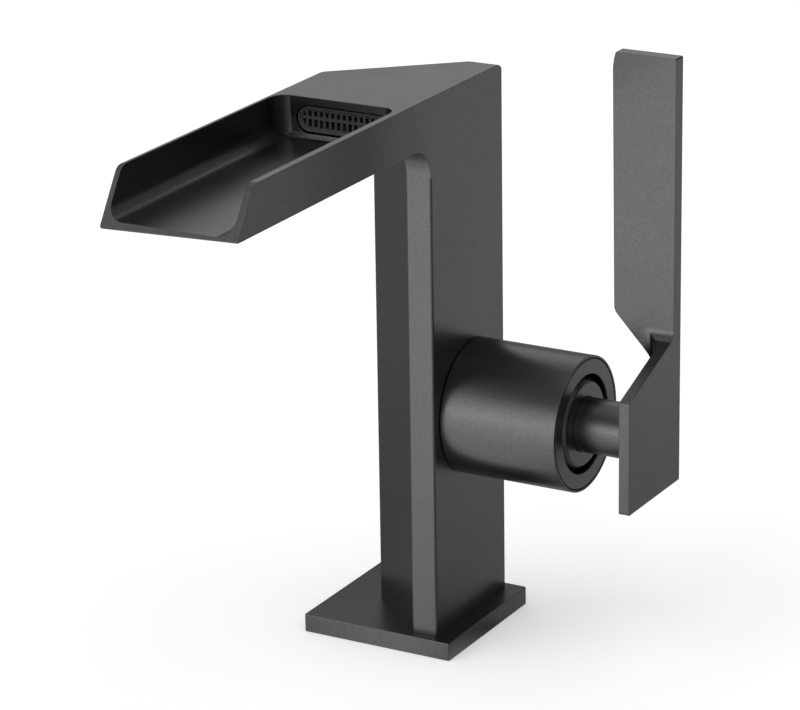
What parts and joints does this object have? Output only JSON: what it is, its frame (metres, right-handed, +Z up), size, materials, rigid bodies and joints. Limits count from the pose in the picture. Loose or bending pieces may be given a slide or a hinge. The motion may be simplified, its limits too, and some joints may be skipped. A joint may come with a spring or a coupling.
{
  "type": "waterfall basin faucet",
  "caption": "Single-lever basin mixer with a wedge-shaped column, an open trough waterfall spout and a side lever on a round cartridge housing.",
  "frame": {"origin": "centre of the base plate's underside, on the deck plane", "axes": "+Z up, -Y along the spout towards the basin, +X to the side with the lever"},
  "size_m": [0.1053, 0.1542, 0.1835],
  "materials": {
    "gunmetal": "satin gunmetal grey coating with a very fine grain on cast brass",
    "brass": "turned, plain",
    "cartridge_plastic": "moulded, off-white",
    "seal_rubber": "black seal rubber",
    "disc_ceramic": "lapped white ceramic",
    "steel": "plain stainless steel",
    "outlet_plastic": "dark grey moulded plastic"
  },
  "bodies": {
    "faucet": {"faucet_body": "gunmetal", "base_plate": "gunmetal", "base_seal": "seal_rubber", "cartridge_sleeve": "gunmetal", "sleeve_ring": "gunmetal", "sleeve_oring": "seal_rubber", "retaining_nut": "brass", "cartridge_case": "cartridge_plastic", "cartridge_base": "cartridge_plastic", "port_seals": "seal_rubber", "fixed_disc": "disc_ceramic", "outlet_frame": "outlet_plastic", "outlet_grille": "outlet_plastic", "flow_straightener": "outlet_plastic", "outlet_gasket": "seal_rubber"},
    "turret": {"cartridge_rotor": "cartridge_plastic", "rotor_oring": "seal_rubber", "pivot_pin": "steel"},
    "lever": {"spindle": "steel", "lever_stem": "gunmetal", "stem_disc": "gunmetal", "set_screw": "steel", "lever_handle": "gunmetal"},
    "valve": {"moving_disc": "disc_ceramic", "disc_carrier": "cartridge_plastic"}
  },
  "joints": [
    {"name": "temperature_turn", "type": "hinge", "parent": "faucet", "child": "turret", "pos_m": [0.0465, 0.0016, 0.0726], "axis": [1, 0, 0], "range_deg": [-45, 45]},
    {"name": "flow_lift", "type": "hinge", "parent": "turret", "child": "lever", "pos_m": [0.0465, 0.0016, 0.0726], "axis": [0, 1, 0], "range_deg": [0, 20]},
    {"name": "valve_slide", "type": "slide", "parent": "turret", "child": "valve", "axis": [0, 0, 1], "range_m": [0, 0.0042]}
  ],
  "couplings": [
    {"joint": "valve_slide", "follows": "flow_lift", "m_per_rad": 0.012}
  ]
}
